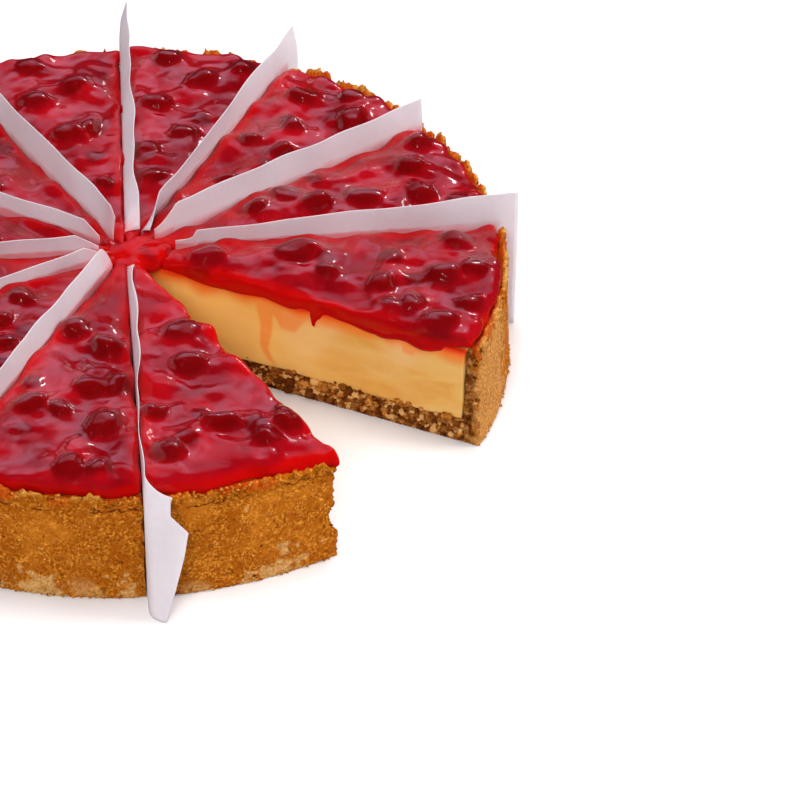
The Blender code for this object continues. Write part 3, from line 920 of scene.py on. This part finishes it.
def cut_crust(number, ring, material):
    make_active(ring)
    bpy.ops.object.duplicate()
    wedge = bpy.context.object
    trim_to_wedge(wedge, number, (CRUST_SLIT, CRUST_SLIT))
    grain = FINE_GRAIN if number in FINE_WEDGES else CRUST_GRAIN
    apply_modifier(wedge, "REMESH", mode="VOXEL", voxel_size=grain)
    roughen_crust(wedge, number)
    side = open_side(number)
    if side is not None:
        places = points_of(wedge)
        near = smooth_step(0.0022, 0.0010, depth_in_cut(places, number, side))
        base = smooth_step(BASE_THICK + 0.0008, BASE_THICK - 0.0004, places[:, 2])
        radius = from_axis(places)
        wall = smooth_step(WALL_INNER_FOOT - 0.001, WALL_INNER_FOOT + 0.001, radius)
        grounded = smooth_step(0.0, 0.0012, places[:, 2]) * smooth_step(0.006, 0.016, radius)
        weigh(wedge, "cut", near * np.maximum(base, wall * 0.7) * grounded)
        relief(wedge, f"cut_lumps_{number}", 0.0026, 2, 0.0036, 0.60, "cut")
    if number == 1:
        for centre, reach, move in CORNER_WEAR:
            nudge(wedge, centre, reach, move)
    level_foot(wedge, 0.0002)
    crust_tone(wedge, number)
    finish_piece(wedge, f"crumb_crust_{number:02d}", material, [f"crust_{number:02d}"])


def crumb_mesh(name, spots, seed, squash=0.8):
    """Loose crumbs as one mesh: each a rough pebble at (place, size)."""
    draw = np.random.default_rng(seed)
    deselect()
    bpy.ops.mesh.primitive_ico_sphere_add(subdivisions=2, radius=0.5)
    pattern = bpy.context.object
    corners = points_of(pattern)
    faces = [tuple(face.vertices) for face in pattern.data.polygons]
    bpy.data.objects.remove(pattern)
    points = []
    polygons = []
    tones = []
    for place, size in spots:
        start = len(points)
        turn = draw.uniform(0, math.tau)
        rough = 1 + draw.uniform(-0.24, 0.24, len(corners))
        stretch = draw.uniform(0.75, 1.25, 3) * np.array((1, 1, squash))
        shape = corners * rough[:, None] * stretch * size
        x = shape[:, 0] * math.cos(turn) - shape[:, 1] * math.sin(turn)
        y = shape[:, 0] * math.sin(turn) + shape[:, 1] * math.cos(turn)
        shape = np.column_stack((x, y, shape[:, 2])) + np.array(place)
        shape[:, 2] = np.maximum(shape[:, 2], 0.0)
        points += shape.tolist()
        polygons += [tuple(start + corner for corner in face) for face in faces]
        tones += [draw.random()] * len(corners)
    mesh = bpy.data.meshes.new(name)
    mesh.from_pydata(points, [], polygons)
    return new_thing(name, mesh), np.array(tones)


def in_gap(angle):
    """Whether a direction from the axis points into the missing wedge."""
    turned = (math.degrees(angle) - FIRST_CUT) % 360
    return turned < WEDGE_TURN + CUT_DRIFT[WEDGES] + 1.0 or turned > 360 + CUT_DRIFT[0] - 1.0


def near_cut(angle, radius):
    """Whether a direction lies in or beside one of the cuts."""
    turned = [abs((angle - cut_angle(n) + math.pi) % math.tau - math.pi) * radius for n in range(1, 13)]
    return min(turned) < 0.0016


def rim_crumbs(material):
    """Fine crumbs bedded in the lip."""
    draw = random.Random(41)
    spots = []
    while len(spots) < RIM_CRUMBS:
        angle = draw.uniform(0, math.tau)
        radius = draw.uniform(LIP_INNER + 0.0002, RIM_RADIUS - 0.0003)
        if in_gap(angle) or near_cut(angle, radius):
            continue
        size = draw.uniform(0.0005, 0.0010)
        height = RIM_TOP + draw.uniform(-0.0016, 0.0006)
        beside = abs((angle - cut_angle(1) + math.pi) % math.tau - math.pi) * radius
        height -= 0.0034 * smooth_step(0.026, 0.004, beside)
        spots.append((at(radius, angle, height), size))
    piece, tones = crumb_mesh("rim_crumbs", spots, 5)
    paint(piece, "tone", (tones < 0.15) * 0.6, smooth_step(0.35, 1.0, tones) * 0.75)
    finish_piece(piece, "rim_crumbs", material)


def foot_crumbs(material):
    draw = random.Random(43)
    spots = []
    while len(spots) < FOOT_CRUMBS:
        angle = draw.uniform(0, math.tau)
        if in_gap(angle) or near_cut(angle, FOOT_RADIUS):
            continue
        size = draw.uniform(0.0005, 0.0013)
        radius = FOOT_RADIUS + draw.uniform(-0.0004, 0.0004)
        height = size * 0.4 + draw.random() ** 3 * 0.003
        spots.append((at(radius, angle, height), size))
    piece, tones = crumb_mesh("foot_crumbs", spots, 6)
    paint(piece, "tone", 0.0, (tones > 0.55) * 0.5, (tones < 0.3) * 0.8)
    finish_piece(piece, "foot_crumbs", material)


def cut_crumbs(material):
    """Coarse crumbs standing out of the base and wall on the two open cuts."""
    draw = random.Random(47)
    spots = []
    for number in (1, WEDGES):
        side = open_side(number)
        out = cut_normal(number, side)
        along = at(1.0, cut_angle(number + side), 0.0)
        for count in range(CUT_CRUMBS):
            radius = draw.uniform(0.006, FOOT_RADIUS - 0.0015)
            height = draw.uniform(0.0012, BASE_THICK + (0.0009 if count % 4 == 0 else 0.0))
            if radius > WALL_INNER_FOOT and draw.random() < 0.75:
                height = draw.uniform(0.0008, WALL_TOP)
            size = draw.uniform(0.0010, 0.0021) if count % 5 else draw.uniform(0.0024, 0.0042)
            place = along * radius - out * (CRUST_SLIT + size * 0.16 + draw.uniform(-0.0002, 0.0009))
            place.z = max(height, size * 0.45)
            spots.append((place, size))
    piece, tones = crumb_mesh("cut_crumbs", spots, 7, squash=0.9)
    paint(piece, "tone", smooth_step(0.50, 0.15, tones) * 0.9, smooth_step(0.62, 0.95, tones) * 0.85)
    finish_piece(piece, "cut_crumbs", material)


# Filling


def fill_wedge(number, material):
    """Baked cheese of a wedge that shows its cut face."""
    side = open_side(number)
    deselect()
    low = BASE_THICK - 0.0006
    bpy.ops.mesh.primitive_cone_add(
        vertices=192, radius1=WALL_INNER_FOOT - 0.0002, radius2=WALL_INNER_TOP - 0.0002,
        depth=WALL_TOP - low, location=(0, 0, (WALL_TOP + low) / 2))
    wedge = bpy.context.object
    put_in_place(wedge)
    trim_to_wedge(wedge, number, (CRUST_SLIT, CRUST_SLIT))
    apply_modifier(wedge, "REMESH", mode="VOXEL", voxel_size=FILLING_GRAIN)
    places = points_of(wedge)
    near = smooth_step(0.0030, 0.0010, depth_in_cut(places, number, side))
    weigh(wedge, "cut", near)
    relief(wedge, f"smears_{number}", 0.014, 2, 0.0011, 0.5, "cut")
    filling_tone(wedge, near)
    finish_piece(wedge, f"cheese_{number:02d}", material, [f"filling_{number:02d}"])


def filling_tone(piece, near):
    """Paints juice stains under the glaze, pale smears and a red hem along the top."""
    places = points_of(piece)
    radius = from_axis(places)
    down = WALL_TOP - places[:, 2]
    wobble = waver(places * (1, 1, 0.5), 0.006)
    stain = smooth_step(0.0074, 0.0014, down + wobble * 0.0020) * 0.95
    for start, reach, foot, head in JUICE_RUNS:
        share = np.clip(down / reach, 0, 1)
        width = foot + (head - foot) * (1 - share) ** 2
        bent = start + 0.0005 * np.sin(down * 210) + 0.0055 * smooth_step(0.020, 0.031, down)
        across = np.abs(radius - bent + wobble * 0.0010) / width
        stain = np.maximum(stain, smooth_step(1.1, 0.6, across) * smooth_step(1.0, 0.8, share) * 0.62)
    hem = smooth_step(0.0026, 0.0002, down + wobble * 0.0010) * 0.95
    pale = smooth_step(0.05, 0.45, waver(places, 0.024)) * 0.6
    paint(piece, "tone", stain * near, pale * near, hem * near)


# Paper dividers


def paper_point(direction, radius, side, height):
    across, along = math.cos(direction), math.sin(direction)
    return (radius * across - side * along, radius * along + side * across, height)


def flap_row(share, column):
    """Reach outward (0) or to the side (1) of the first divider's loose end at a share of its height."""
    for (low, *first), (high, *second) in zip(FLAP, FLAP[1:]):
        if share <= high:
            return mix(first[column], second[column], (share - low) / (high - low))
    return FLAP[-1][column + 1]


def divider(number, material):
    """Strip of paper standing in a cut; its free edge leans and waves a little."""
    inner, outer, rise_in, rise_out, lean_in, lean_out = [size / 1000 for size in PAPERS[number - 2]]
    direction = cut_angle(number)
    loose = number == 2
    columns, rows = (96, 44) if loose else (80, 40)
    flap_from = FLAP_FROM if loose else 1.0
    drop, sharpness, lost = INNER_ENDS[number - 2]
    deselect()
    bpy.ops.mesh.primitive_grid_add(x_subdivisions=columns, y_subdivisions=rows, size=1)
    strip = bpy.context.object
    places = points_of(strip)
    moved = []
    for u, v, _ in places:
        along, up = u + 0.5, v + 0.5
        share = min(1.0, along / flap_from)
        beyond = max(0.0, (along - flap_from) / (1 - flap_from)) if loose else 0.0
        radius = mix(inner, outer, share)
        top = GLAZE_TOP + mix(rise_in, rise_out, share) - FLAP_DROOP * beyond
        top += 0.0006 * noise.noise(Vector((radius * 40, number * 3.1, 0)))
        end = min(1.0, (radius - inner) / drop)
        top -= (1 - end ** sharpness) * rise_in * lost
        top = min(top, PAPER_HIGHEST)
        # Most rows of a straight divider stand above the glaze, where it waves
        height = top * (up if loose else np.interp(up, (0.0, 0.3, 1.0), (0.0, 0.82, 1.0)))
        free = min(1.0, max(0.0, (height - GLAZE_TOP) / (top - GLAZE_TOP)))
        side = mix(lean_in, lean_out, share) * free ** 1.3
        wave = noise.noise(Vector((radius * 55, number * 7.7, height * 20))) * 0.0016
        side += wave * free + wave * max(0.0, (radius - FOOT_RADIUS) / 0.012) * (1 - free)
        if beyond:
            crease = noise.noise(Vector((height * 90, beyond * 2.0, 4.0))) * 0.0010 * beyond
            turn_late = mix(4.5, 1.6, min(1.0, up / 0.4))
            turned = 1 - (1 - beyond) ** mix(1.2, 1.7, min(1.0, up / 0.4))
            radius = outer + flap_row(up, 0) * turned + crease
            side += flap_row(up, 1) * beyond ** turn_late
        moved.append(paper_point(direction, radius, side, height))
    strip.data.vertices.foreach_set("co", np.array(moved).ravel())
    strip.data.update()
    apply_modifier(strip, "SOLIDIFY", thickness=PAPER_THICK, offset=0.0)
    level_foot(strip, 0.00005)
    places = points_of(strip)
    wobble = waver(places, 0.004)
    radius = from_axis(places)
    soaked = smooth_step(GLAZE_TOP + 0.0016, GLAZE_TOP + 0.0002, places[:, 2] + wobble * 0.0006)
    soaked = soaked * smooth_step(GLAZE_RADIUS + 0.0015, GLAZE_RADIUS - 0.001, radius)
    soaked = np.maximum(soaked, smooth_step(0.020, 0.010, radius + wobble * 0.004) * 0.35)
    paint(strip, "tone", soaked * 0.7)
    finish_piece(strip, f"paper_{number - 1:02d}", material, [f"divider_{number - 1:02d}"])


# Stage


def lay_floor():
    deselect()
    bpy.ops.mesh.primitive_plane_add(size=8.0, location=(0, 0, -0.0002))
    floor = bpy.context.object
    floor.name = "floor"
    floor.data.materials.append(pale_floor())
    floor.visible_glossy = False


def add_softbox(name, place, size, power):
    """Square lamp that faces the cake."""
    lamp = bpy.data.lights.new(name, "AREA")
    lamp.size = size
    lamp.energy = power
    thing = new_thing(name, lamp)
    thing.location = place
    thing.rotation_euler = (-Vector(place)).to_track_quat("-Z", "Y").to_euler()
    return thing


def light_studio():
    """Dim room with one wide soft window behind the cake, broad fill lamps and small bright ones."""
    world = bpy.data.worlds.new("studio")
    bpy.context.scene.world = world
    world.use_nodes = True
    tree = world.node_tree
    backdrop = tree.nodes["Background"]
    look = add_node(tree, "ShaderNodeTexCoord").outputs["Generated"]
    lobe = add_node(tree, "ShaderNodeMapping", {"Vector": look, "Rotation": (math.radians(40), 0, 0)},
                    vector_type="TEXTURE")
    parts = add_node(tree, "ShaderNodeSeparateXYZ", {"Vector": lobe.outputs["Vector"]})
    wide = sums(tree, "MULTIPLY", parts.outputs["X"], 0.62)
    spread = sums(tree, "ADD", sums(tree, "POWER", wide, 2.0), sums(tree, "POWER", parts.outputs["Z"], 2.0))
    window = sums(tree, "MULTIPLY", grey_ramp(tree, spread, 0.16, 0.03),
                  grey_ramp(tree, parts.outputs["Y"], 0.0, 0.1))
    glow = sums(tree, "ADD", sums(tree, "MULTIPLY", window, 1.25), 0.04)
    backdrop.inputs["Color"].default_value = (0.96, 0.75, 1.05, 1.0)
    tree.links.new(glow, backdrop.inputs["Strength"])
    for name, place, size, power in FILL_LAMPS:
        add_softbox(name, place, size, power).visible_glossy = False
    for name, place, size, power in SPARKLE_LAMPS:
        add_softbox(name, place, size, power)


def place_camera():
    lens = bpy.data.cameras.new("camera")
    lens.lens = LENS
    lens.sensor_width = 36.0
    lens.clip_start, lens.clip_end = 0.05, 20.0
    camera = new_thing("camera", lens)
    camera.location = CAMERA_PLACE
    camera.rotation_euler = [math.radians(turn) for turn in CAMERA_TURN]
    bpy.context.scene.camera = camera


def dress_cad_filling(material):
    """The fillings between the outer two keep their solids and get the cheese's finish."""
    for number in range(2, WEDGES):
        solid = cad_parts[f"filling_{number:02d}"]
        for slot in solid.material_slots:
            slot.material = material


place_camera()
glaze_finish = cherry_glaze()
crust_finish = crumb_crust()
base_finish = base_crumb()
cheese_finish = cheese_filling()
paper_finish = divider_paper()
cherry_pattern = shape_cherry()
for wedge_number in range(1, WEDGES + 1):
    pour_glaze(wedge_number, cherry_pattern, glaze_finish)
bpy.data.objects.remove(cherry_pattern)
fill_centre(glaze_finish)
crust_ring = press_crust()
for wedge_number in range(1, WEDGES + 1):
    cut_crust(wedge_number, crust_ring, crust_finish)
bpy.data.objects.remove(crust_ring)
rim_crumbs(crust_finish)
foot_crumbs(crust_finish)
cut_crumbs(base_finish)
for wedge_number in (1, WEDGES):
    fill_wedge(wedge_number, cheese_finish)
dress_cad_filling(cheese_finish)
for cut_number in range(2, WEDGES + 1):
    divider(cut_number, paper_finish)
lay_floor()
light_studio()
bpy.context.scene.view_settings.view_transform = "Standard"
